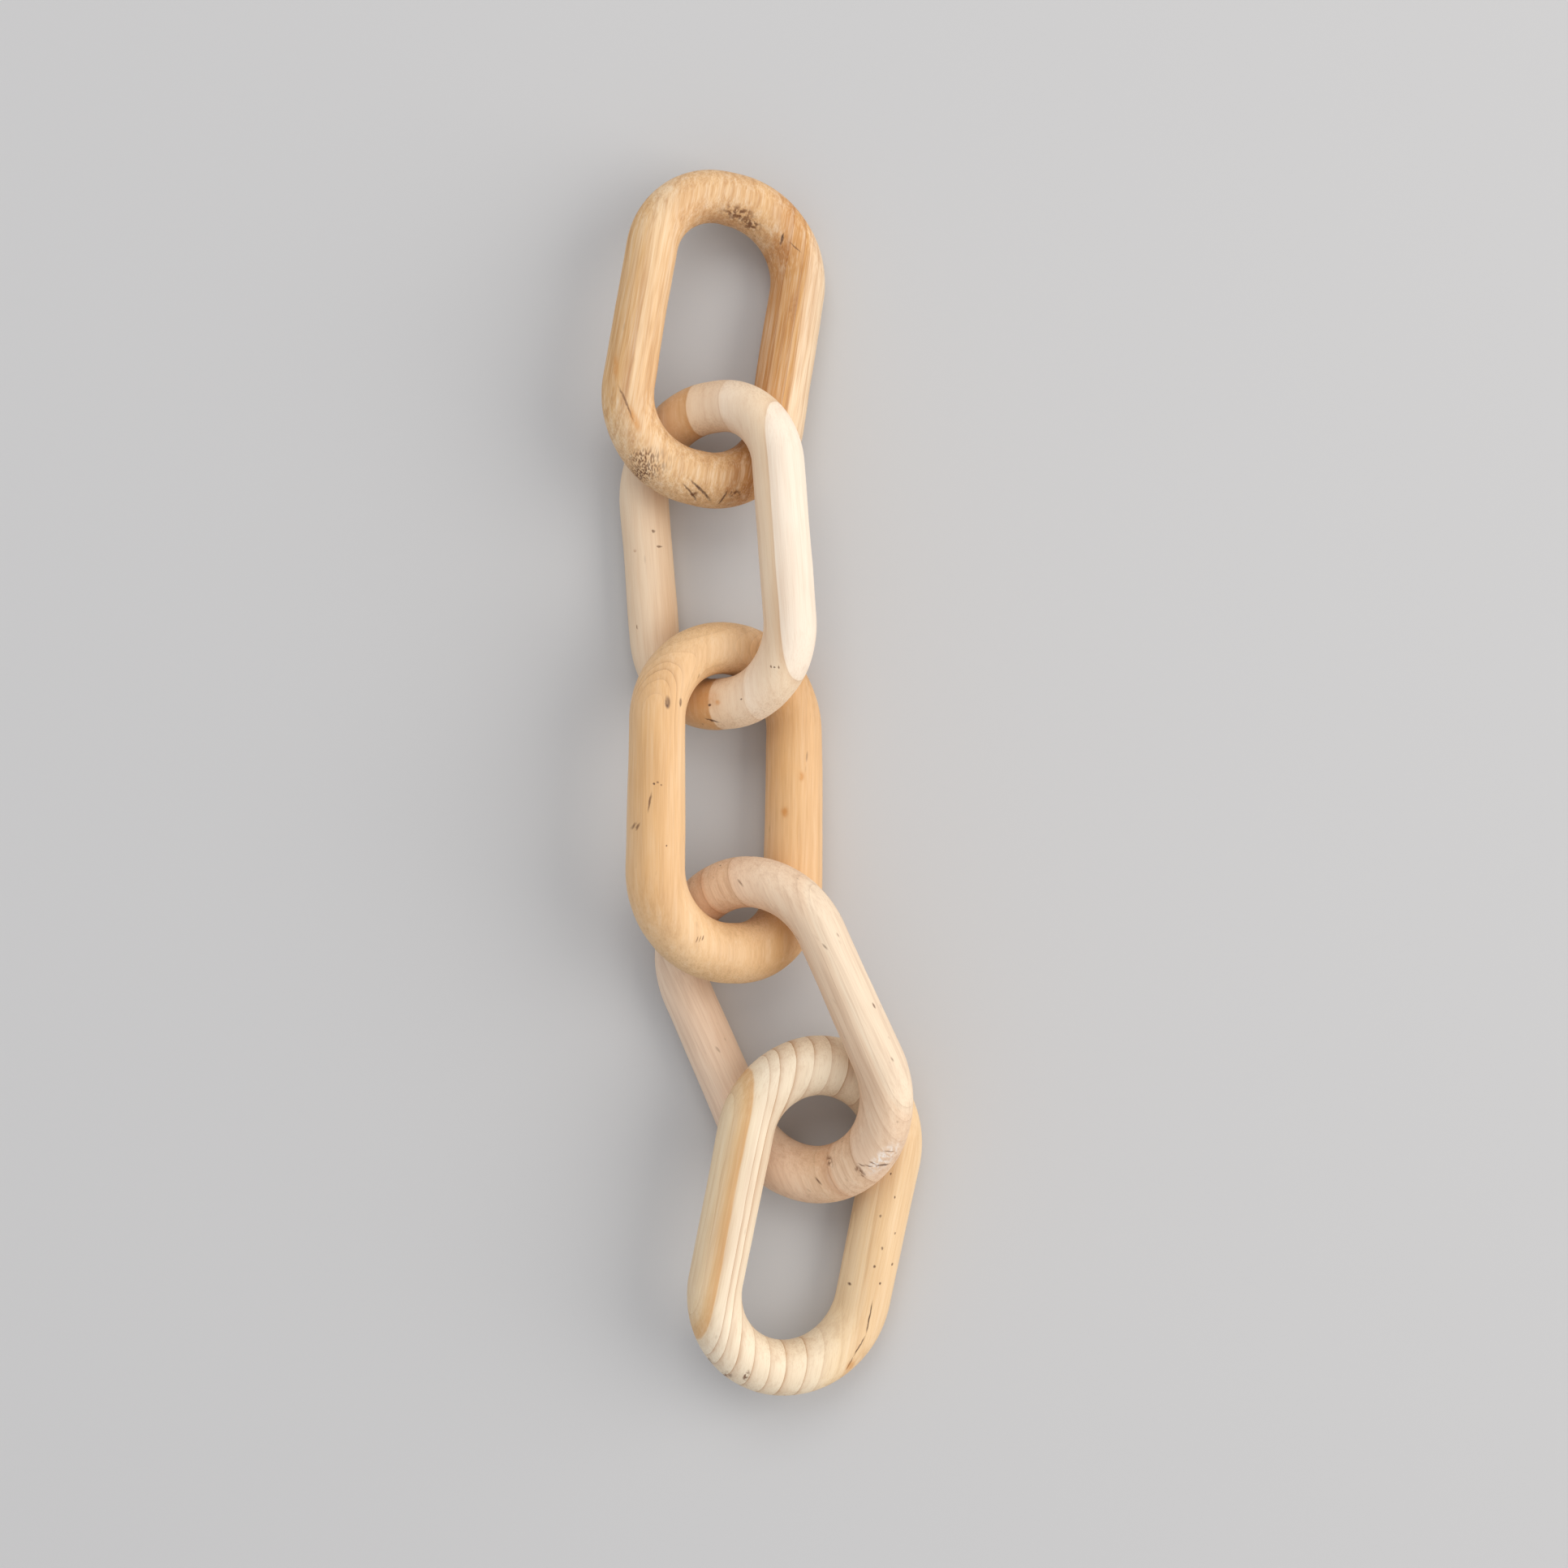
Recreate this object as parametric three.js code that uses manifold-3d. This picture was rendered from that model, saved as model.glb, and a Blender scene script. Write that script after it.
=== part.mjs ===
// A chain of hand-carved wooden links, lying flat in a slightly bent row.
//
// Each link is one closed ring of round wood, carved already linked through its
// neighbours. The links lean on one another: every other link has its left side
// raised, the ones between have their right side raised, and each rests its low
// side on the surface at z = 0, where a small flat is worn.
//
// Millimetres, +Z up, +Y along the row. The origin is the middle of the row's
// footprint, on the surface that it lies on.
import * as THREE from 'three';
import { mergeVertices } from 'three/addons/utils/BufferGeometryUtils.js';
import Module from 'manifold-3d';

// How each link was carved. Its sides are named as seen from above, before it is
// turned: top is +Y and right is +X.
//   length, width  over all, in the ring's own plane
//   shoulder       radius of the four bends, along the middle of the wood
//   thick          thickness of the wood at the middle of each side
//   middle         where the ring's middle lies
//   yaw            turn about Z, degrees
//   roll           tilt about its own length: positive lowers the right side
//   pitch          tilt about its own width: positive raises the top end
const LINKS = [
  {
    name: 'link_1',
    length: 163.5,
    width: 101.5,
    shoulder: { topRight: 38.5, topLeft: 33, bottomLeft: 38, bottomRight: 33 },
    thick: { right: 27, top: 25.5, left: 24.5, bottom: 26.5 },
    middle: [-23.3, 214.1, 28.2],
    yaw: -9,
    roll: 18.5,
    pitch: -5.5,
    color: 0xddb482,
    roughness: 0.6,
  },
  {
    name: 'link_2',
    length: 167,
    width: 101.5,
    shoulder: { topRight: 31, topLeft: 42, bottomLeft: 34.5, bottomRight: 37.5 },
    thick: { right: 25, top: 24.5, left: 24, bottom: 25 },
    middle: [-22.7, 109.1, 31.8],
    yaw: 4.5,
    roll: -30.5,
    pitch: -1,
    color: 0xe6cdb0,
    roughness: 0.68,
  },
  {
    name: 'link_3',
    length: 173.5,
    width: 103,
    shoulder: { topRight: 39, topLeft: 36, bottomLeft: 40.5, bottomRight: 30.5 },
    thick: { right: 28, top: 25, left: 27.5, bottom: 29 },
    middle: [-17.9, -9.3, 33.8],
    yaw: -0.5,
    roll: 30,
    pitch: -3,
    color: 0xe2b98c,
    roughness: 0.58,
  },
  {
    name: 'link_4',
    length: 173.5,
    width: 106.5,
    shoulder: { topRight: 39, topLeft: 42, bottomLeft: 38, bottomRight: 44 },
    thick: { right: 24, top: 24.5, left: 25, bottom: 27.5 },
    middle: [9.3, -118.9, 31.4],
    yaw: 24,
    roll: -28,
    pitch: -0.5,
    color: 0xe2c4a6,
    roughness: 0.68,
  },
  {
    name: 'link_5',
    length: 175.5,
    width: 104.5,
    shoulder: { topRight: 41, topLeft: 36, bottomLeft: 39, bottomRight: 38.5 },
    thick: { right: 27.5, top: 28.5, left: 26.5, bottom: 26.5 },
    middle: [20.3, -209.1, 27],
    yaw: -11.5,
    roll: 20.5,
    pitch: 0.5,
    color: 0xeed3ae,
    roughness: 0.62,
  },
];

// How finely a ring is faceted.
const SECTION_SIDES = 16;
const STEPS_PER_SHOULDER = 11;
const STEPS_PER_STRAIGHT = 4;

// The block that takes off what would lie below the surface.
const FLOOR_BLOCK_SIZE = 1000;

const { degToRad } = THREE.MathUtils;

// The middle line of a link's wood, in the ring's own plane: four arcs with
// straight stretches between them.
function middleLine({ length, width, shoulder, thick }) {
  const right = (width - thick.right) / 2;
  const left = (thick.left - width) / 2;
  const top = (length - thick.top) / 2;
  const bottom = (thick.bottom - length) / 2;
  const corners = [
    [right, top, -1, -1, shoulder.topRight],
    [left, top, 1, -1, shoulder.topLeft],
    [left, bottom, 1, 1, shoulder.bottomLeft],
    [right, bottom, -1, 1, shoulder.bottomRight],
  ];
  const line = new THREE.Path();
  corners.forEach(([x, y, inX, inY, radius], quarter) => {
    const start = (quarter * Math.PI) / 2;
    line.absarc(x + inX * radius, y + inY * radius, radius, start, start + Math.PI / 2);
  });
  line.closePath();
  return line;
}

// Points along that line, with the first one not repeated at the end.
function stationsOn(line) {
  return line.curves.flatMap((curve) => {
    const steps = curve.isLineCurve ? STEPS_PER_STRAIGHT : STEPS_PER_SHOULDER;
    return curve.getPoints(steps).slice(0, -1);
  });
}

// The wood's radius where a ray from the ring's middle at this angle crosses it.
// It passes smoothly through the four thicknesses.
function radiusAt(angle, { right, top, left, bottom }) {
  const mean = (right + top + left + bottom) / 4;
  const sideways = ((right - left) / 2) * Math.cos(angle);
  const lengthways = ((top - bottom) / 2) * Math.sin(angle);
  const sidesOverEnds = ((right + left - top - bottom) / 4) * Math.cos(2 * angle);
  return (mean + sideways + lengthways + sidesOverEnds) / 2;
}

// A closed ring of round wood about the middle line, in the ring's own plane.
function ringGeometry(link) {
  const stations = stationsOn(middleLine(link));
  const box = new THREE.Box2().setFromPoints(stations);
  const centre = box.getCenter(new THREE.Vector2());
  const size = box.getSize(new THREE.Vector2());
  const position = [];
  const index = [];
  stations.forEach((point, i) => {
    const before = stations.at(i - 1);
    const after = stations[(i + 1) % stations.length];
    const along = after.clone().sub(before).normalize();
    const across = (point.x - centre.x) / size.x;
    const up = (point.y - centre.y) / size.y;
    const radius = radiusAt(Math.atan2(up, across), link.thick);
    const ring = i * SECTION_SIDES;
    const nextRing = ((i + 1) % stations.length) * SECTION_SIDES;
    for (let side = 0; side < SECTION_SIDES; side++) {
      const turn = (2 * Math.PI * side) / SECTION_SIDES;
      const outward = radius * Math.cos(turn);
      const x = point.x + along.y * outward;
      const y = point.y - along.x * outward;
      position.push(x, y, radius * Math.sin(turn));
      const next = (side + 1) % SECTION_SIDES;
      index.push(ring + side, nextRing + side, nextRing + next);
      index.push(ring + side, nextRing + next, ring + next);
    }
  });
  const geometry = new THREE.BufferGeometry();
  geometry.setAttribute('position', new THREE.Float32BufferAttribute(position, 3));
  geometry.setIndex(index);
  return geometry;
}

const wasm = await Module();
wasm.setup();

function toSolid(geometry) {
  return new wasm.Manifold(new wasm.Mesh({
    numProp: 3,
    vertProperties: new Float32Array(geometry.attributes.position.array),
    triVerts: new Uint32Array(geometry.index.array),
  }));
}

function toGeometry(solid) {
  const { vertProperties, triVerts } = solid.getMesh();
  const geometry = new THREE.BufferGeometry();
  geometry.setAttribute('position', new THREE.BufferAttribute(vertProperties, 3));
  geometry.setIndex(new THREE.BufferAttribute(triVerts, 1));
  geometry.computeVertexNormals();
  return geometry;
}

// The block below z = 0, as eight shared corners.
function floorBlock() {
  const half = FLOOR_BLOCK_SIZE / 2;
  const block = new THREE.BoxGeometry(FLOOR_BLOCK_SIZE, FLOOR_BLOCK_SIZE, FLOOR_BLOCK_SIZE);
  block.translate(0, 0, -half);
  block.deleteAttribute('normal');
  block.deleteAttribute('uv');
  return mergeVertices(block);
}

// One link, turned and placed in the row, with its low side worn flat at z = 0.
function carveLink(link) {
  const mesh = new THREE.Mesh();
  mesh.name = link.name;
  mesh.rotation.set(degToRad(link.pitch), degToRad(link.roll), degToRad(link.yaw), 'ZXY');
  mesh.position.set(...link.middle);
  mesh.updateMatrix();
  const floor = floorBlock().applyMatrix4(mesh.matrix.clone().invert());
  mesh.geometry = toGeometry(toSolid(ringGeometry(link)).subtract(toSolid(floor)));
  mesh.material = new THREE.MeshStandardMaterial({
    color: link.color,
    roughness: link.roughness,
    metalness: 0,
  });
  return mesh;
}

const chain = new THREE.Group();
chain.name = 'wooden_chain';
chain.add(...LINKS.map(carveLink));

export default chain;
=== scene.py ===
import math

import bpy
from mathutils import Matrix, Vector


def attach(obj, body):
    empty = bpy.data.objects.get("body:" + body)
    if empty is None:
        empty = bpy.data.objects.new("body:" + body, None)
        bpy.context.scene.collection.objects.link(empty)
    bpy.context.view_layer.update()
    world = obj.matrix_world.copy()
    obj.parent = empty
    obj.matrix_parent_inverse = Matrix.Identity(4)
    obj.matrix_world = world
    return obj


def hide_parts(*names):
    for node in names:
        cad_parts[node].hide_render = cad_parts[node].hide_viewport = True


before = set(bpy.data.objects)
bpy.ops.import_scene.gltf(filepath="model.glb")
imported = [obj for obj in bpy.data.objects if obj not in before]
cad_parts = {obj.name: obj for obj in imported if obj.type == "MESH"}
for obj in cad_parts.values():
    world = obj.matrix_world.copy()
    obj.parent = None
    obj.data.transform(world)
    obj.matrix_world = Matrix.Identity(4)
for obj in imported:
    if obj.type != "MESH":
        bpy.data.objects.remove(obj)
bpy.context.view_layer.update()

MM = 0.001

# How each link was carved: the sizes of its ring, and how the ring lies in the
# row. Its sides are named as seen from above before it is turned, with the top
# at +Y and the right at +X.
LINKS = {
    "link_1": {
        "length": 163.5,
        "width": 101.5,
        "bend": {"top right": 38.5, "top left": 33, "bottom left": 38, "bottom right": 33},
        "thick": {"right": 27, "top": 25.5, "left": 24.5, "bottom": 26.5},
        "middle": (-23.3, 214.1, 28.2),
        "yaw": -9,
        "roll": 18.5,
        "pitch": -5.5,
    },
    "link_2": {
        "length": 167,
        "width": 101.5,
        "bend": {"top right": 31, "top left": 42, "bottom left": 34.5, "bottom right": 37.5},
        "thick": {"right": 25, "top": 24.5, "left": 24, "bottom": 25},
        "middle": (-22.7, 109.1, 31.8),
        "yaw": 4.5,
        "roll": -30.5,
        "pitch": -1,
    },
    "link_3": {
        "length": 173.5,
        "width": 103,
        "bend": {"top right": 39, "top left": 36, "bottom left": 40.5, "bottom right": 30.5},
        "thick": {"right": 28, "top": 25, "left": 27.5, "bottom": 29},
        "middle": (-17.9, -9.3, 33.8),
        "yaw": -0.5,
        "roll": 30,
        "pitch": -3,
    },
    "link_4": {
        "length": 173.5,
        "width": 106.5,
        "bend": {"top right": 39, "top left": 42, "bottom left": 38, "bottom right": 44},
        "thick": {"right": 24, "top": 24.5, "left": 25, "bottom": 27.5},
        "middle": (9.3, -118.9, 31.4),
        "yaw": 24,
        "roll": -28,
        "pitch": -0.5,
    },
    "link_5": {
        "length": 175.5,
        "width": 104.5,
        "bend": {"top right": 41, "top left": 36, "bottom left": 39, "bottom right": 38.5},
        "thick": {"right": 27.5, "top": 28.5, "left": 26.5, "bottom": 26.5},
        "middle": (20.3, -209.1, 27),
        "yaw": -11.5,
        "roll": 20.5,
        "pitch": 0.5,
    },
}

# The woods. Each is solid: its rings, fibres and marks run through the block
# that the link was carved from, in the link's own millimetres, with x across the
# link, y along it and z out of its face.
#   heart     where the heart of the tree lies, across and out of the link's face
#   rings     how far from the heart each year's dark edge lies, and how dark it is
#   zones     the pale wood's colour by the distance from the heart, with painted light and shade of the link's sides in it
#   late      colour of the dark edge of a year's growth
#   end       colour where the fibres are cut across, and how strongly it shows
#   flecks    angle, share of places that have one, and how strongly they show
#   marks     kind, place, half its size across and along, and its angle
WOODS = {
    "link_1": {
        # Pine from near the heart: honey-coloured and streaky, rough where the
        # fibres are cut across.
        "finish": "Honey pine, carved and sanded",
        "slot": "honey_pine",
        "roughness": 0.6,
        "heart": (-260, -10),
        "striped": (-400, -300),
        "rings": [(214, 0.2), (219.5, 0.3), (230, 0.2), (243.5, 0.2), (251, 0.25), (264, 0.2), (279.5, 0.3),
                  (286.5, 0.7), (294.5, 0.75), (297.5, 0.5)],
        "zones": [(208, "#e0b47c"), (215, "#e2b57c"), (220, "#eac596"), (232, "#e3b783"), (250, "#e6bd8a"),
                  (272, "#dfb27c"), (284, "#cc955a"), (296, "#d6a262"), (298.5, "#e6c298"), (312, "#e2c8a6")],
        "late": "#9c5c22",
        "end": ("#a87848", 0.35),
        "fibres": 0.9,
        "flecks": (0, 0.15, 0.4),
        "marks": [
            ("check", (1, -75.5, 9), (0.7, 11.5), 63),
            ("check", (-3, -77.5, 8), (0.5, 8), 60),
            ("stain", (15, -72.5, 11), (1.4, 9), -11),
            ("check", (14, -77, 9), (0.5, 5), -15),
            ("resin", (-36, -50, 12), (2, 9), 34),
            ("scratch", (-41, -43.5, 11), (0.5, 12), 32),
            ("resin", (-47.9, -27, 8), (1.2, 9), 8),
            ("mottle", (-1, 60.5, 8.5), (9, 5), 0),
            ("mottle", (6.5, 57, 7), (6, 3.5), 0),
            ("stain", (22, 48, 10), (9, 9), 0),
            ("check", (21.8, 52.8, 11.3), (0.6, 3.5), 0),
            ("scratch", (28.5, 50, 12), (0.4, 5), 60),
            ("stain", (-8, 56, 4), (14, 3), 0),
            ("stain", (32.6, 21, 12.5), (2.5, 12), 0),
            ("mottle", (19, -74, 10), (4, 3), 0),
            ("mottle", (-1, -78, 8.5), (3, 2), 0),
            ("pores", (-26, -73, 3), (20, 7), 33),
            ("pores", (-27, -66, 9), (10, 6), 20),
        ],
    },
    "link_2": {
        # Poplar: nearly white towards the bark, in broad and faint rings.
        "finish": "Cream poplar, carved and sanded",
        "slot": "cream_poplar",
        "roughness": 0.66,
        "heart": (-260, -10),
        "striped": (-400, -300),
        "rings": [(258, 0.55), (268.5, 0.12), (277.5, 0.35), (292, 0.1), (300.5, 0.5)],
        "zones": [(208, "#ecd2b2"), (230, "#ecd0af"), (240, "#d9b082"), (257.5, "#d6a66c"), (258.5, "#ecd0ae"),
                  (277, "#eed4b6"), (279, "#f2dcc2"), (300, "#f0d6b4"), (301, "#f4e2cc"), (312, "#f0e0cc")],
        "late": "#b98350",
        "end": ("#b8946c", 0.35),
        "fibres": 0.35,
        "flecks": (0, 0.1, 0.35),
        "marks": [
            ("halo", (-4, -69, 12), (8, 7), 0),
            ("knot", (-2.5, -71.6, 12.4), (0.9, 0.9), 0),
            ("resin", (2, -71, 12), (1.8, 2), 0),
            ("check", (-3.7, -79, 9), (0.5, 4.5), 69),
            ("scratch", (33, -56.9, 12), (0.4, 1.2), 0),
            ("knot", (34.6, -57.4, 11.8), (0.5, 0.6), 0),
            ("scratch", (36.5, -57.5, 11), (0.4, 1), 0),
            ("stain", (-38.4, 6.7, 11.9), (1, 1.3), 0),
            ("scratch", (-29.6, 15.3, 7.5), (0.5, 1), 0),
            ("scratch", (-28.3, 7.7, 5.6), (0.8, 0.8), 0),
            ("scratch", (-40.6, -30.2, 11.7), (0.3, 1.5), 0),
            ("knot", (15.2, -70.5, 12.1), (0.6, 0.5), 0),
        ],
    },
    "link_3": {
        # Pine with its heart under the left side, so that its rings lie nearly
        # flat there and show as arches. Warm, smooth and plain.
        "finish": "Amber pine, carved and sanded",
        "slot": "amber_pine",
        "roughness": 0.56,
        "heart": (-14, -30),
        "striped": (0, 45),
        "rings": [(30, 0.1), (36, 0.15), (41.5, 0.2), (45, 0.2), (47.5, 0.35), (49, 0.6), (50.5, 0.35),
                  (52, 0.2), (56, 0.15), (61, 0.2), (67, 0.15)],
        "zones": [(27, "#ecc592"), (45, "#e8be8c"), (50, "#e2b47e"), (56, "#e0ae72"), (73, "#e2b684")],
        "late": "#8f5a30",
        "end": ("#b5854f", 0.35),
        "fibres": 0.35,
        "flecks": (-6, 0.25, 0.5),
        "marks": [
            ("knot", (-38.9, 45.3, 12.8), (1.4, 4), 0),
            ("knot", (-31.6, 45.7, 12), (0.8, 2.6), 0),
            ("knot", (-44.8, 7, 12), (0.5, 0.8), 0),
            ("scratch", (-43.4, 7.6, 12), (0.5, 0.8), 0),
            ("scratch", (-41.8, 6.4, 12), (0.5, 0.8), 0),
            ("scratch", (-46.5, -1.7, 10.4), (0.5, 6), -8),
            ("scratch", (-50.2, -13.1, 4.8), (0.4, 2.6), -15),
            ("scratch", (-51.2, -13.1, 4.8), (0.4, 2.6), -15),
            ("scratch", (-22.7, -65.7, 14), (0.35, 2.2), -22),
            ("scratch", (-21.2, -65.5, 14), (0.3, 2.2), -22),
            ("scratch", (-19.6, -65, 14), (0.35, 1.8), -22),
            ("halo", (27.3, -4.2, 9.6), (1.8, 4.5), 0),
            ("resin", (27.3, -4.2, 9.6), (1.1, 3.2), 0),
            ("halo", (34.1, 13.1, 13.1), (1.8, 4), 0),
            ("resin", (34.1, 13.1, 13.1), (1.1, 2.6), 0),
            ("knot", (-39, -22.1, 13.8), (0.4, 0.6), 0),
        ],
    },
    "link_4": {
        # Beech: pinkish, with the short dark flecks of its rays across the grain, and a rough
        # near-white patch where the knife tore the fibres end on: their pale colour and a painted highlight.
        "finish": "Flecked beech, carved and lightly sanded",
        "slot": "flecked_beech",
        "roughness": 0.68,
        "heart": (-260, -10),
        "striped": (-400, -300),
        "rings": [(238, 0.1), (252.5, 0.25), (260, 0.55), (264.5, 0.3), (269.5, 0.2), (275.5, 0.55), (291, 0.2),
                  (298, 0.2), (304.5, 0.3), (308, 0.3)],
        "zones": [(208, "#efd3b8"), (240, "#e9c8a8"), (252, "#e2bc96"), (260, "#dcb08a"), (262, "#e6c4a2"),
                  (275, "#e4c09c"), (277, "#e9c9aa"), (306, "#e8caaa"), (307, "#eed6b8"), (314, "#e8d0b4")],
        "late": "#94603a",
        "end": ("#c4926a", 0.3),
        "fibres": 0.45,
        "flecks": (20, 0.75, 0.8),
        "marks": [
            # Rough patch of fibres that the knife tore, painted near white: partly their pale colour, partly a painted
            # highlight.
            ("torn_and_highlit", (27, -73, 9), (12, 5), 20),
            ("scratch", (17, -72, 12.8), (0.4, 2.5), 40),
            ("scratch", (19.5, -73.5, 12), (0.4, 2.8), 50),
            ("scratch", (22, -73, 11), (0.4, 2.2), 35),
            ("check", (24.5, -76, 8), (0.6, 3.5), 60),
            ("scratch", (31, -71, 8), (0.4, 3), 50),
            ("mottle", (1, -66, 10), (1.8, 5), 10),
            ("mottle", (14.5, -74, 11), (2, 6), 5),
        ],
    },
    "link_5": {
        # Fast-grown pine: cream wood between strong tan rings, and golden plain
        # wood towards the heart.
        "finish": "Striped pine, carved and sanded",
        "slot": "striped_pine",
        "roughness": 0.6,
        "heart": (260, -10),
        "striped": (-400, -300),
        "rings": [(230.5, 0.2), (235.5, 0.25), (243, 0.45), (251, 0.9), (261.5, 1), (270, 0.95), (279, 0.9),
                  (287.5, 0.95), (294.5, 0.9), (298.5, 0.8), (303.6, 0.2), (310, 0.3)],
        "zones": [(207, "#e8c79c"), (228, "#e8c392"), (236, "#eccfa4"), (245, "#f0dcbc"), (300, "#f2e0c4"),
                  (303.6, "#f0dcbc"), (304.4, "#dcae78"), (307, "#e0b884"), (309.5, "#eccfa4"), (314, "#e8d2b0")],
        "late": "#a8703c",
        "end": ("#c09a6c", 0.3),
        "fibres": 0.45,
        "flecks": (0, 0.12, 0.4),
        "marks": [
            ("check", (37.7, -42, 13.3), (0.35, 10), 0),
            ("check", (35.6, -56.5, 13), (0.4, 7), -20),
            ("check", (33, -65.5, 12), (0.5, 4.5), -10),
            ("resin", (34, -67, 11), (3, 5), 0),
            ("knot", (38, 17.4, 13.8), (0.5, 1), 0),
            ("knot", (33, 7.3, 12.6), (0.5, 1), 0),
            ("knot", (42.1, 0.1, 13), (0.5, 1), 0),
            ("knot", (36.9, -8.1, 13.4), (0.6, 1.2), 0),
            ("knot", (44.6, -15.1, 12), (0.6, 1), 0),
            ("knot", (35.1, -17.2, 13), (0.7, 1), 0),
            ("knot", (26.8, -28.3, 6.5), (0.6, 1), 0),
            ("knot", (39.7, -25, 13.4), (0.5, 0.9), 0),
            ("knot", (33.8, 28.3, 13), (0.4, 0.9), 0),
            ("mottle", (-18.1, -77.6, 10.9), (2, 5), 0),
            ("mottle", (-25.5, -79.5, 4.5), (2.5, 3.5), 0),
            ("mottle", (-34.4, -74.5, 1), (2.5, 3.5), 0),
        ],
    },
}

# What each kind of mark looks like: its colour, how much of it shows at its
# middle, where it starts to fade out, how patchy it is, and how deep it is cut.
MARKS = {
    "knot": {"colour": "#4f2c18", "share": 0.9, "core": 0.35, "patchy": 0.3, "deep": 0.15},
    "halo": {"colour": "#c68a4c", "share": 0.55, "core": 0.0, "patchy": 0.3, "deep": 0},
    "resin": {"colour": "#cf8b3f", "share": 0.65, "core": 0.2, "patchy": 0.3, "deep": 0},
    "stain": {"colour": "#9c5f28", "share": 0.6, "core": 0.0, "patchy": 0.5, "deep": 0},
    "mottle": {"colour": "#6b3d18", "share": 0.9, "core": 0.2, "patchy": 1.0, "deep": 0.05},
    # Fibres that the knife tore: the near-white colour is partly theirs and partly a painted highlight that they
    # catch.
    "torn_and_highlit": {"colour": "#f1e8de", "share": 0.8, "core": 0.2, "patchy": 0.9, "deep": 0.1},
    "check": {"colour": "#4a2812", "share": 0.9, "core": 0.4, "patchy": 0.2, "deep": 0.3},
    "scratch": {"colour": "#6a4326", "share": 0.8, "core": 0.3, "patchy": 0.2, "deep": 0.15},
    "pores": {"colour": "#6b4020", "share": 0.9, "core": 0.1, "patchy": 1.0, "deep": 0.1},
}

STATIONS = 480        # steps along a link's middle line
SECTION_SIDES = 96    # sides of its round section
BEND_STEPS = 48       # points on each of its four bends, before they are spaced out

# The view in the photograph: straight down, with the picture's centre on this
# point of the surface.
VIEW_CENTRE = (9.9, -0.5)
VIEW_HEIGHT = 1300
VIEW_WIDTH = 772.8
SENSOR = 36


def linear(hex_colour):
    """An sRGB hex colour as linear RGBA."""
    channels = [int(hex_colour[i:i + 2], 16) / 255 for i in (1, 3, 5)]
    return tuple(c / 12.92 if c <= 0.04045 else ((c + 0.055) / 1.055) ** 2.4 for c in channels) + (1.0,)


def add(tree, kind, links=None, **settings):
    """Adds a node. links maps its sockets to values, sockets or nodes, whose first live output is used."""
    node = tree.nodes.new(kind)
    for name, value in settings.items():
        setattr(node, name, value)
    for socket, value in (links or {}).items():
        if isinstance(value, bpy.types.Node):
            value = next(output for output in value.outputs if output.enabled)
        if isinstance(value, bpy.types.NodeSocket):
            tree.links.new(value, node.inputs[socket])
        else:
            node.inputs[socket].default_value = value
    return node


def turn_of(link):
    """The ring's turn: about its own length, then its own width, then upright."""
    yaw = Matrix.Rotation(math.radians(link["yaw"]), 3, "Z")
    pitch = Matrix.Rotation(math.radians(link["pitch"]), 3, "X")
    roll = Matrix.Rotation(math.radians(link["roll"]), 3, "Y")
    return (yaw @ pitch @ roll).to_euler()


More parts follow.
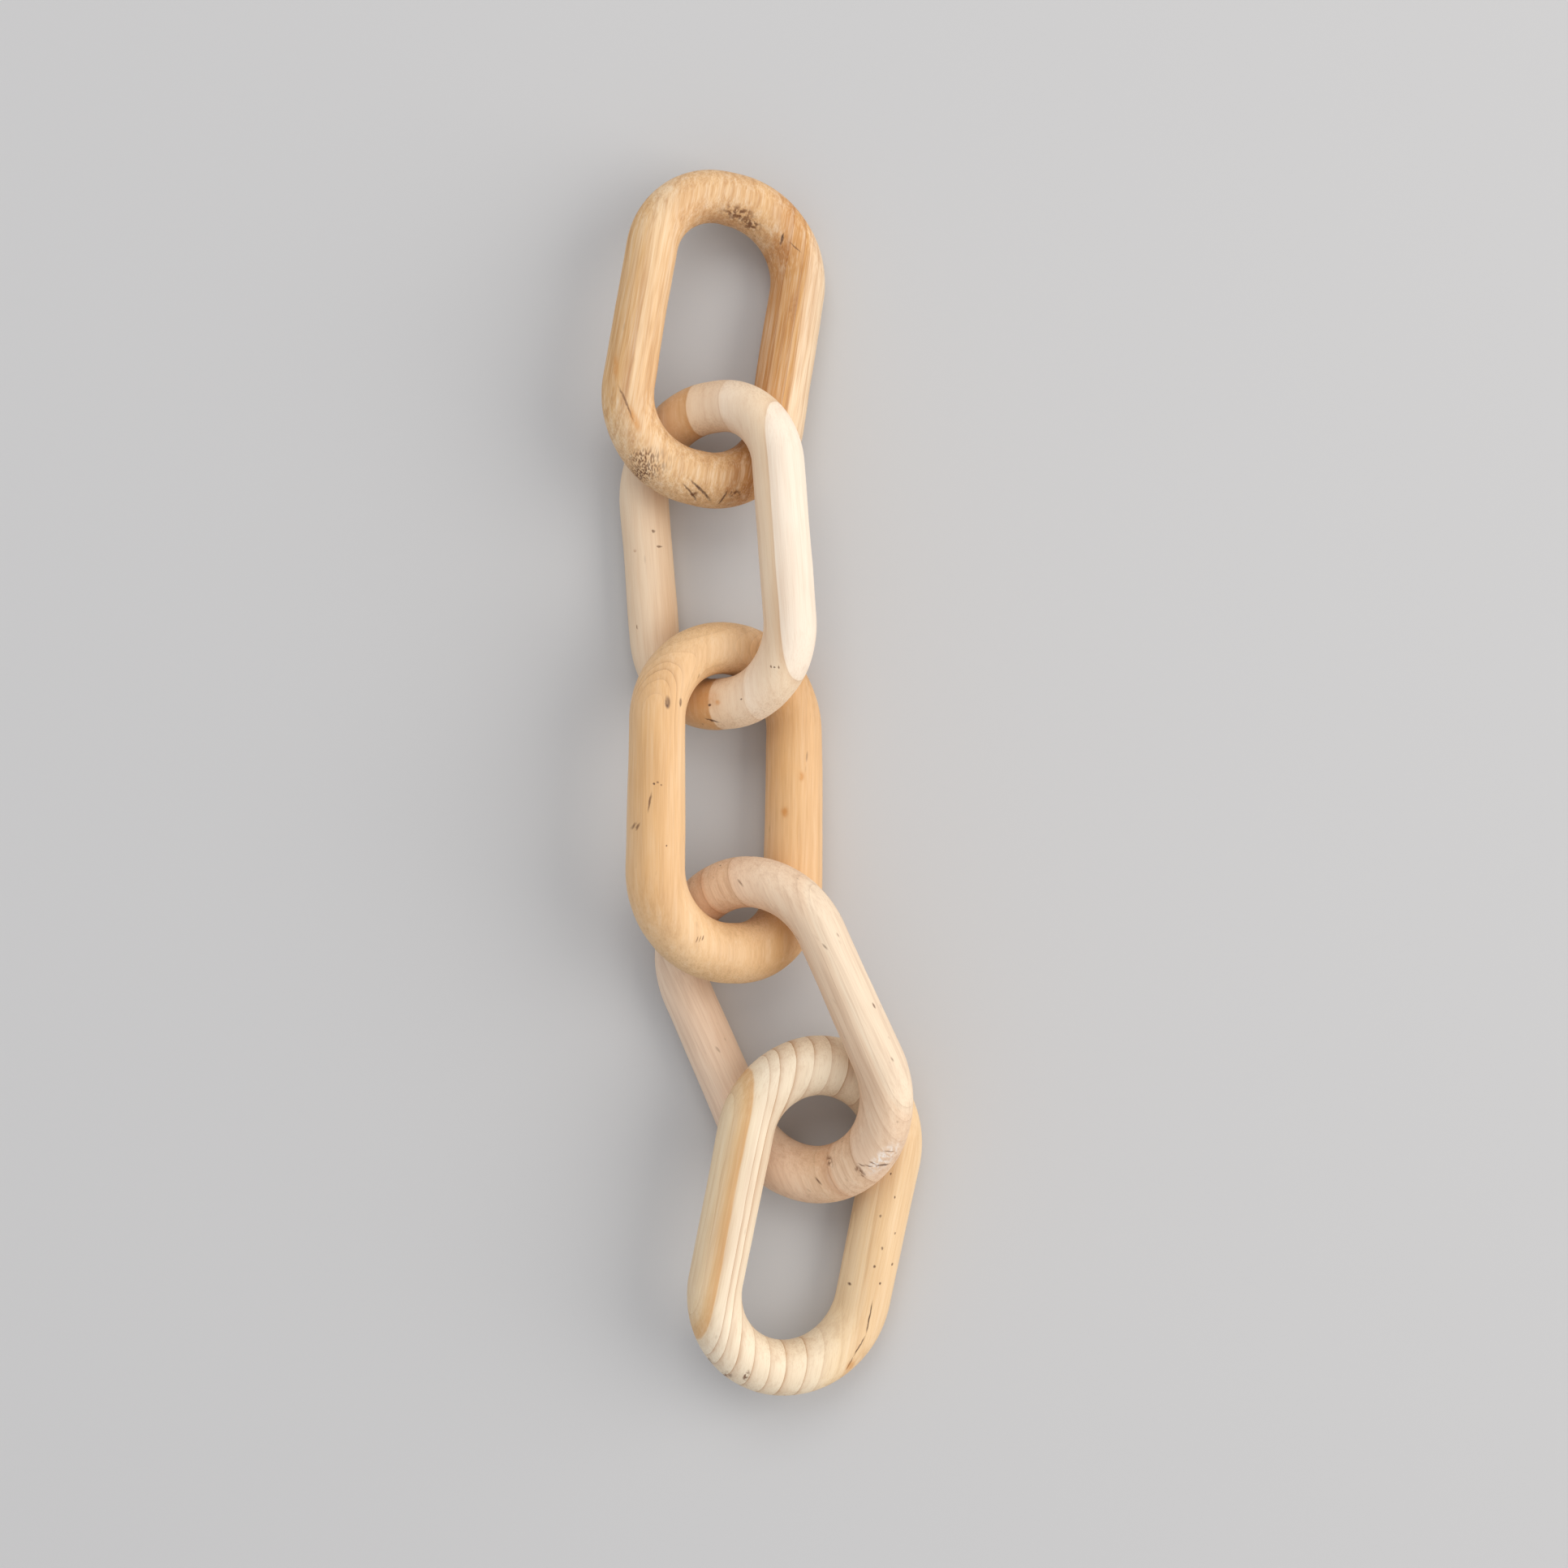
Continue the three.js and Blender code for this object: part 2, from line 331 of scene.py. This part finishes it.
def carved_link_tree():
    """Geometry Nodes for one link: a closed ring of round wood with hand-carved unevenness."""
    tree = bpy.data.node_groups.new("Carved link", "GeometryNodeTree")
    sizes = ["Length", "Width"]
    sizes += [f"Bend {corner}" for corner in ("top right", "top left", "bottom left", "bottom right")]
    sizes += [f"Thick {side}" for side in ("right", "top", "left", "bottom")]
    sizes += ["Hollows", "Tool marks", "Seed"]
    for name in sizes:
        tree.interface.new_socket(name, in_out="INPUT", socket_type="NodeSocketFloat")
    tree.interface.new_socket("Middle", in_out="INPUT", socket_type="NodeSocketVector")
    tree.interface.new_socket("Turn", in_out="INPUT", socket_type="NodeSocketRotation")
    tree.interface.new_socket("Wood", in_out="INPUT", socket_type="NodeSocketMaterial")
    tree.interface.new_socket("Link", in_out="OUTPUT", socket_type="NodeSocketGeometry")
    given = tree.nodes.new("NodeGroupInput").outputs

    # The middle line's four sides, and its corners before they are bent round.
    side = {}
    for name, whole, sign in (("right", "Width", 0.5), ("top", "Length", 0.5), ("left", "Width", -0.5),
                              ("bottom", "Length", -0.5)):
        inside = add(tree, "ShaderNodeMath", {0: given[whole], 1: given[f"Thick {name}"]}, operation="SUBTRACT")
        side[name] = add(tree, "ShaderNodeMath", {0: inside, 1: sign}, operation="MULTIPLY")
    corners = [("right", "top"), ("left", "top"), ("left", "bottom"), ("right", "bottom")]
    rectangle = add(tree, "GeometryNodeCurvePrimitiveQuadrilateral", mode="POINTS")
    for number, (x, y) in enumerate(corners, 1):
        point = add(tree, "ShaderNodeCombineXYZ", {"X": side[x], "Y": side[y]})
        tree.links.new(point.outputs[0], rectangle.inputs[f"Point {number}"])
    bend = add(tree, "GeometryNodeIndexSwitch", data_type="FLOAT")
    bend.index_switch_items.new()
    bend.index_switch_items.new()
    tree.links.new(add(tree, "GeometryNodeInputIndex").outputs[0], bend.inputs["Index"])
    for number, (x, y) in enumerate(corners):
        tree.links.new(given[f"Bend {y} {x}"], bend.inputs[str(number)])
    line = add(tree, "GeometryNodeFilletCurve", {"Curve": rectangle, "Radius": bend}, mode="POLY")
    line.inputs["Count"].default_value = BEND_STEPS
    line = add(tree, "GeometryNodeResampleCurve", {"Curve": line, "Count": STATIONS})

    # The wood's radius passes smoothly through its four thicknesses, by the angle
    # at which the ring is crossed.
    place = add(tree, "ShaderNodeSeparateXYZ", {0: add(tree, "GeometryNodeInputPosition")})
    ratio = {}
    for axis, low, high in (("X", "left", "right"), ("Y", "bottom", "top")):
        span = add(tree, "ShaderNodeMath", {0: side[high], 1: side[low]}, operation="SUBTRACT")
        above = add(tree, "ShaderNodeMath", {0: place.outputs[axis], 1: side[low]}, operation="SUBTRACT")
        share = add(tree, "ShaderNodeMath", {0: above, 1: span}, operation="DIVIDE")
        ratio[axis] = add(tree, "ShaderNodeMath", {0: share, 1: 0.5}, operation="SUBTRACT")
    angle = add(tree, "ShaderNodeMath", {0: ratio["Y"], 1: ratio["X"]}, operation="ARCTAN2")
    cosine = add(tree, "ShaderNodeMath", {0: angle}, operation="COSINE")
    sine = add(tree, "ShaderNodeMath", {0: angle}, operation="SINE")
    double = add(tree, "ShaderNodeMath", {0: angle, 1: 2.0}, operation="MULTIPLY")
    double = add(tree, "ShaderNodeMath", {0: double}, operation="COSINE")
    thick = {name: given[f"Thick {name}"] for name in side}
    sides = add(tree, "ShaderNodeMath", {0: thick["right"], 1: thick["left"]}, operation="ADD")
    ends = add(tree, "ShaderNodeMath", {0: thick["top"], 1: thick["bottom"]}, operation="ADD")
    waves = [
        (add(tree, "ShaderNodeMath", {0: thick["right"], 1: thick["left"]}, operation="SUBTRACT"), cosine, 0.25),
        (add(tree, "ShaderNodeMath", {0: thick["top"], 1: thick["bottom"]}, operation="SUBTRACT"), sine, 0.25),
        (add(tree, "ShaderNodeMath", {0: sides, 1: ends}, operation="SUBTRACT"), double, 0.125),
    ]
    radius = add(tree, "ShaderNodeMath", {0: sides, 1: ends}, operation="ADD")
    radius = add(tree, "ShaderNodeMath", {0: radius, 1: 0.125}, operation="MULTIPLY")
    for height, wave, share in waves:
        height = add(tree, "ShaderNodeMath", {0: height, 1: share}, operation="MULTIPLY")
        radius = add(tree, "ShaderNodeMath", {0: height, 1: wave, 2: radius}, operation="MULTIPLY_ADD")
    section = add(tree, "GeometryNodeCurvePrimitiveCircle", {"Resolution": SECTION_SIDES, "Radius": 1.0})
    ring = add(tree, "GeometryNodeCurveToMesh", {"Curve": line, "Profile Curve": section, "Scale": radius})

    # Shallow hollows about 40 mm across, and the softer marks of the knife, about
    # 12 mm across, which sanding left.
    relief = None
    for name, across in (("Hollows", 40), ("Tool marks", 12)):
        noise = add(tree, "ShaderNodeTexNoise", {"Scale": 1 / (across * MM), "Detail": 0.0, "W": given["Seed"]},
                    noise_dimensions="4D")
        centred = add(tree, "ShaderNodeMath", {0: noise, 1: 0.5}, operation="SUBTRACT")
        height = add(tree, "ShaderNodeMath", {0: centred, 1: given[name]}, operation="MULTIPLY")
        relief = height if relief is None else add(tree, "ShaderNodeMath", {0: relief, 1: height}, operation="ADD")
    outward = add(tree, "ShaderNodeVectorMath", {0: add(tree, "GeometryNodeInputNormal"), "Scale": relief},
                  operation="SCALE")
    ring = add(tree, "GeometryNodeSetPosition", {"Geometry": ring, "Offset": outward})

    # The ring is turned and placed, and what lies below the surface is worn flat.
    ring = add(tree, "GeometryNodeTransform",
               {"Geometry": ring, "Translation": given["Middle"], "Rotation": given["Turn"]})
    place = add(tree, "GeometryNodeInputPosition")
    worn = add(tree, "ShaderNodeVectorMath", {0: place, 1: (-10.0, -10.0, 0.0)}, operation="MAXIMUM")
    ring = add(tree, "GeometryNodeSetPosition", {"Geometry": ring, "Position": worn})
    ring = add(tree, "GeometryNodeSetShadeSmooth", {"Geometry": ring, "Shade Smooth": True})
    ring = add(tree, "GeometryNodeRealizeInstances", {"Geometry": ring})
    ring = add(tree, "GeometryNodeSetMaterial", {"Geometry": ring, "Material": given["Wood"]})
    add(tree, "NodeGroupOutput", {"Link": ring})
    return tree


def carve(name, link, tree, wood, seed):
    """One link as a plain mesh, in place of its CAD node."""
    blank = bpy.data.objects.new(f"{name}_blank", bpy.data.meshes.new(f"{name}_blank"))
    bpy.context.scene.collection.objects.link(blank)
    modifier = blank.modifiers.new("Carved link", "NODES")
    modifier.node_group = tree
    values = {"Length": link["length"] * MM, "Width": link["width"] * MM}
    values |= {f"Bend {corner}": size * MM for corner, size in link["bend"].items()}
    values |= {f"Thick {side}": size * MM for side, size in link["thick"].items()}
    values |= {"Hollows": 0.9 * MM, "Tool marks": 0.25 * MM, "Seed": float(seed), "Wood": wood}
    values |= {"Middle": Vector(link["middle"]) * MM, "Turn": turn_of(link)}
    for item in tree.interface.items_tree:
        if item.in_out == "INPUT":
            modifier[item.identifier] = values[item.name]
    depsgraph = bpy.context.evaluated_depsgraph_get()
    mesh = bpy.data.meshes.new_from_object(blank.evaluated_get(depsgraph))
    bpy.data.objects.remove(blank)
    mesh.name = f"{name}_carved"
    piece = bpy.data.objects.new(f"{name}_carved", mesh)
    bpy.context.scene.collection.objects.link(piece)
    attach(piece, "root")
    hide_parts(name)
    return piece


def set_stops(ramp, stops):
    """Gives a colour ramp its stops, as pairs of a place from 0 to 1 and a linear colour."""
    elements = ramp.color_ramp.elements
    while len(elements) > 1:
        elements.remove(elements[-1])
    for number, (place, colour) in enumerate(stops):
        element = elements[0] if number == 0 else elements.new(place)
        element.position = place
        element.color = colour


def carved_wood(name, link, wood):
    """The solid wood of one link, as a material in the link's own millimetres."""
    material = bpy.data.materials.new(wood["finish"])
    material.use_nodes = True
    tree = material.node_tree
    shader = tree.nodes["Principled BSDF"]
    seed = float(name[-1])
    given = add(tree, "ShaderNodeTexCoord").outputs
    place = add(tree, "ShaderNodeMapping",
                {"Vector": given["Object"], "Location": Vector(link["middle"]) * MM, "Rotation": turn_of(link),
                 "Scale": (MM, MM, MM)}, vector_type="TEXTURE")

    # Unevenness of several sizes, in millimetres across, along and through the
    # link. Fibres and pores are drawn a few times coarser than real ones, so that
    # they show.
    uneven = {}
    for what, size, detail in (("bend", (45, 110, 45), 0.0), ("ripple", (7, 18, 7), 1.0), ("drift", (22, 60, 22), 1.0),
                               ("streaks", (2.6, 75, 2.6), 1.0), ("fibres", (0.55, 16, 0.55), 1.0),
                               ("pores", (0.8, 4, 0.8), 0.0), ("ragged", (1.6, 2.4, 1.6), 1.0)):
        scaled = add(tree, "ShaderNodeVectorMath", {0: place, 1: size}, operation="DIVIDE")
        uneven[what] = add(tree, "ShaderNodeTexNoise",
                           {"Vector": scaled, "W": seed, "Scale": 1.0, "Detail": detail}, noise_dimensions="4D")

    # Rings: the distance from the tree's heart, with slow bends and small ripples
    # in the grain, is counted in years, and each year darkens towards its end.
    grown = place
    for what, reach in (("bend", (5, 0, 5)), ("ripple", (0.9, 0, 0.9))):
        around = add(tree, "ShaderNodeVectorMath", {0: uneven[what].outputs["Color"], 1: (0.5, 0.5, 0.5)},
                     operation="SUBTRACT")
        grown = add(tree, "ShaderNodeVectorMath", {0: around, 1: reach, 2: grown}, operation="MULTIPLY_ADD")
    heart = (wood["heart"][0], 0, wood["heart"][1])
    spoke = add(tree, "ShaderNodeVectorMath", {0: grown, 1: heart}, operation="SUBTRACT")
    spoke = add(tree, "ShaderNodeVectorMath", {0: spoke, 1: (1, 0, 1)}, operation="MULTIPLY")
    distance = add(tree, "ShaderNodeVectorMath", {0: spoke}, operation="LENGTH")
    nearest = wood["zones"][0][0]
    farthest = wood["zones"][-1][0]
    depth = add(tree, "ShaderNodeMapRange", {"Value": distance, "From Min": nearest, "From Max": farthest})
    years = len(wood["rings"]) + 1
    edges = [nearest] + [reach for reach, strength in wood["rings"]] + [farthest]
    ages = add(tree, "ShaderNodeValToRGB", {0: depth})
    set_stops(ages, [((reach - nearest) / (farthest - nearest), (number / years,) * 3 + (1,))
                     for number, reach in enumerate(edges)])
    age = add(tree, "ShaderNodeMath", {0: ages, 1: years}, operation="MULTIPLY")
    year = add(tree, "ShaderNodeMath", {0: age}, operation="FLOOR")
    season = add(tree, "ShaderNodeMath", {0: age}, operation="FRACT")
    middle = add(tree, "ShaderNodeMath", {0: year, 1: 0.5}, operation="ADD")
    middle = add(tree, "ShaderNodeMath", {0: middle, 1: years}, operation="DIVIDE")
    strength = add(tree, "ShaderNodeValToRGB", {0: middle})
    strength.color_ramp.interpolation = "CONSTANT"
    set_stops(strength, [(number / years, (dark,) * 3 + (1,))
                         for number, dark in enumerate([dark for reach, dark in wood["rings"]] + [0])])
    band = add(tree, "ShaderNodeMath", {0: season, 1: 2.5}, operation="POWER")
    line = add(tree, "ShaderNodeMath", {0: season, 1: 14.0}, operation="POWER")
    band = add(tree, "ShaderNodeMath", {0: band, 1: 0.5}, operation="MULTIPLY")
    dark = add(tree, "ShaderNodeMath", {0: line, 1: 0.5, 2: band}, operation="MULTIPLY_ADD")
    dark = add(tree, "ShaderNodeMath", {0: dark, 1: strength}, operation="MULTIPLY")
    waning = add(tree, "ShaderNodeMapRange", {"Value": uneven["drift"], "From Min": 0.25, "From Max": 0.6,
                                              "To Min": 0.45, "To Max": 1.0})
    dark = add(tree, "ShaderNodeMath", {0: dark, 1: waning}, operation="MULTIPLY")
    height = add(tree, "ShaderNodeSeparateXYZ", {0: place}).outputs["Y"]
    plain_at, striped_at = wood["striped"]
    waning = add(tree, "ShaderNodeMapRange", {"Value": height, "From Min": plain_at, "From Max": striped_at,
                                              "To Min": 0.15, "To Max": 1.0})
    dark = add(tree, "ShaderNodeMath", {0: dark, 1: waning}, operation="MULTIPLY")
    # These colours are partly the wood's own and partly painted light and shade: they change across the link, so they
    # colour its sides apart, and each side's colour was set to how that side looks in the light.
    zones = add(tree, "ShaderNodeValToRGB", {0: depth})
    set_stops(zones, [((reach - nearest) / (farthest - nearest), linear(colour)) for reach, colour in wood["zones"]])
    colour = add(tree, "ShaderNodeMix", {0: dark, 6: zones, 7: linear(wood["late"])}, data_type="RGBA")

    # Streaks and fibres darken the wood towards its late colour and lighten it
    # towards a bleached one.
    for what, low, high, share in (("drift", 0.5, 0.8, 0.22), ("streaks", 0.5, 0.85, 0.6), ("fibres", 0.5, 0.9, 0.5)):
        amount = share * (wood["fibres"] if what != "drift" else 1.0)
        more = add(tree, "ShaderNodeMapRange", {"Value": uneven[what], "From Min": low, "From Max": high,
                                                "To Max": amount})
        colour = add(tree, "ShaderNodeMix", {0: more, 6: colour, 7: linear(wood["late"])}, data_type="RGBA")
        less = add(tree, "ShaderNodeMapRange", {"Value": uneven[what], "From Min": 1 - low, "From Max": 1 - high,
                                                "To Max": amount * 0.8})
        colour = add(tree, "ShaderNodeMix", {0: less, 6: colour, 7: linear("#fbecd2")}, data_type="RGBA")

    # Where the fibres are cut across, at the outsides and insides of the ends, the
    # wood is darker and dotted with open pores.
    along = turn_of(link).to_matrix() @ Vector((0, 1, 0))
    facing = add(tree, "ShaderNodeVectorMath", {0: given["Normal"], 1: along}, operation="DOT_PRODUCT")
    facing = add(tree, "ShaderNodeMath", {0: facing}, operation="ABSOLUTE")
    cut = add(tree, "ShaderNodeMapRange", {"Value": facing, "From Min": 0.35, "From Max": 0.95},
              interpolation_type="SMOOTHSTEP")
    end_colour, end_share = wood["end"]
    open_pores = add(tree, "ShaderNodeMapRange", {"Value": uneven["pores"], "From Min": 0.48, "From Max": 0.66,
                                                  "To Min": 0.25, "To Max": 1.0})
    cut = add(tree, "ShaderNodeMath", {0: cut, 1: open_pores}, operation="MULTIPLY")
    cut = add(tree, "ShaderNodeMath", {0: cut, 1: end_share}, operation="MULTIPLY")
    colour = add(tree, "ShaderNodeMix", {0: cut, 6: colour, 7: linear(end_colour)}, data_type="RGBA")

    # Flecks: short dark dashes along the grain, about 1 x 5 mm.
    angle, common, fleck_share = wood["flecks"]
    turned = add(tree, "ShaderNodeMapping", {"Vector": place, "Rotation": (0, 0, math.radians(angle)),
                                             "Scale": (3.4, 15, 3.4)}, vector_type="TEXTURE")
    cells = add(tree, "ShaderNodeTexVoronoi", {"Vector": turned, "W": seed, "Scale": 1.0}, voronoi_dimensions="4D")
    chance = add(tree, "ShaderNodeSeparateColor", {0: cells.outputs["Color"]})
    present = add(tree, "ShaderNodeMath", {0: chance.outputs["Red"], 1: common}, operation="LESS_THAN")
    inside = add(tree, "ShaderNodeMapRange", {"Value": cells.outputs["Distance"], "From Min": 0.22, "From Max": 0.1,
                                              "To Max": fleck_share})
    flecks = add(tree, "ShaderNodeMath", {0: inside, 1: present}, operation="MULTIPLY")
    flecks = add(tree, "ShaderNodeMath", {0: flecks, 1: chance.outputs["Green"]}, operation="MULTIPLY")
    colour = add(tree, "ShaderNodeMix", {0: flecks, 6: colour, 7: linear("#5e371c")}, data_type="RGBA")

    # Knots, cracks, stains and scratches, each where it lies on this link.
    depth_cut = add(tree, "ShaderNodeMath", {0: flecks, 1: 0.08}, operation="MULTIPLY")
    around = add(tree, "ShaderNodeVectorMath", {0: uneven["ragged"].outputs["Color"], 1: (0.5, 0.5, 0.5)},
                 operation="SUBTRACT")
    worn = add(tree, "ShaderNodeVectorMath", {0: around, 1: (0.9, 0.9, 0.9), 2: place}, operation="MULTIPLY_ADD")
    patches = {}
    for what in ("ragged", "pores"):
        patches[what] = add(tree, "ShaderNodeMapRange", {"Value": uneven[what], "From Min": 0.42, "From Max": 0.6})
    for kind, where, (across, length), angle in wood["marks"]:
        look = MARKS[kind]
        inside = add(tree, "ShaderNodeMapping",
                     {"Vector": worn, "Location": where, "Rotation": (0, 0, math.radians(angle)),
                      "Scale": (across * 1.3, length, max(6, across))}, vector_type="TEXTURE")
        reach = add(tree, "ShaderNodeVectorMath", {0: inside}, operation="LENGTH")
        share = add(tree, "ShaderNodeMapRange", {"Value": reach, "From Min": 1.0, "From Max": look["core"],
                                                 "To Max": look["share"]}, interpolation_type="SMOOTHSTEP")
        patches_here = patches["pores" if kind == "pores" else "ragged"]
        patchy = add(tree, "ShaderNodeMath", {0: patches_here, 1: look["patchy"], 2: 1 - look["patchy"]},
                     operation="MULTIPLY_ADD")
        share = add(tree, "ShaderNodeMath", {0: share, 1: patchy}, operation="MULTIPLY")
        colour = add(tree, "ShaderNodeMix", {0: share, 6: colour, 7: linear(look["colour"])}, data_type="RGBA")
        if look["deep"]:
            depth_cut = add(tree, "ShaderNodeMath", {0: share, 1: look["deep"], 2: depth_cut},
                            operation="MULTIPLY_ADD")

    # The sanded surface: fibres stand a little proud and polish a little brighter.
    height = add(tree, "ShaderNodeMath", {0: uneven["fibres"], 1: 0.08}, operation="MULTIPLY")
    height = add(tree, "ShaderNodeMath", {0: height, 1: depth_cut}, operation="SUBTRACT")
    bump = add(tree, "ShaderNodeBump", {"Height": height, "Distance": MM, "Strength": 0.8})
    rough = add(tree, "ShaderNodeMapRange", {"Value": uneven["fibres"], "From Min": 0.3, "From Max": 0.7,
                                             "To Min": wood["roughness"] - 0.05, "To Max": wood["roughness"] + 0.08})
    tree.links.new(colour.outputs[2], shader.inputs["Base Color"])
    tree.links.new(rough.outputs[0], shader.inputs["Roughness"])
    tree.links.new(bump.outputs[0], shader.inputs["Normal"])
    shader.inputs["IOR"].default_value = 1.5
    return material


def pale_floor():
    size = 6000 * MM
    mesh = bpy.data.meshes.new("floor")
    corners = [(-size, -size), (size, -size), (size, size), (-size, size)]
    mesh.from_pydata([(x, y, -0.1 * MM) for x, y in corners], [], [(0, 1, 2, 3)])
    floor = bpy.data.objects.new("floor", mesh)
    bpy.context.scene.collection.objects.link(floor)
    material = bpy.data.materials.new("Pale painted board")
    material.use_nodes = True
    shader = material.node_tree.nodes["Principled BSDF"]
    shader.inputs["Base Color"].default_value = linear("#c6c5c4")
    shader.inputs["Roughness"].default_value = 0.9
    mesh.materials.append(material)


def soft_light(name, place, towards, size, power, colour):
    """A square area light that faces a point."""
    data = bpy.data.lights.new(name, "AREA")
    data.size = size * MM
    data.energy = power
    data.color = linear(colour)[:3]
    lamp = bpy.data.objects.new(name, data)
    lamp.location = Vector(place) * MM
    aim = Vector(towards) - Vector(place)
    lamp.rotation_euler = aim.to_track_quat("-Z", "Y").to_euler()
    bpy.context.scene.collection.objects.link(lamp)


def camera_from_above():
    data = bpy.data.cameras.new("camera")
    data.sensor_width = SENSOR
    data.lens = SENSOR * VIEW_HEIGHT / VIEW_WIDTH
    camera = bpy.data.objects.new("camera", data)
    camera.location = (VIEW_CENTRE[0] * MM, VIEW_CENTRE[1] * MM, VIEW_HEIGHT * MM)
    bpy.context.scene.collection.objects.link(camera)
    bpy.context.scene.camera = camera


def studio():
    pale_floor()
    soft_light("window", (3800, 100, 2500), (0, 0, 0), 4400, 150, "#fffaf4")
    soft_light("far window", (-300, 2600, 3600), (0, 0, 0), 2400, 46, "#fbfaf8")
    world = bpy.data.worlds.new("room")
    world.use_nodes = True
    background = world.node_tree.nodes["Background"]
    background.inputs["Color"].default_value = linear("#f2f5fb")
    background.inputs["Strength"].default_value = 0.66
    bpy.context.scene.world = world
    bpy.context.scene.view_settings.view_transform = "Standard"


camera_from_above()
studio()
tree = carved_link_tree()
for number, (name, link) in enumerate(LINKS.items()):
    wood = WOODS[name]
    carve(name, link, tree, carved_wood(name, link, wood), seed=number)
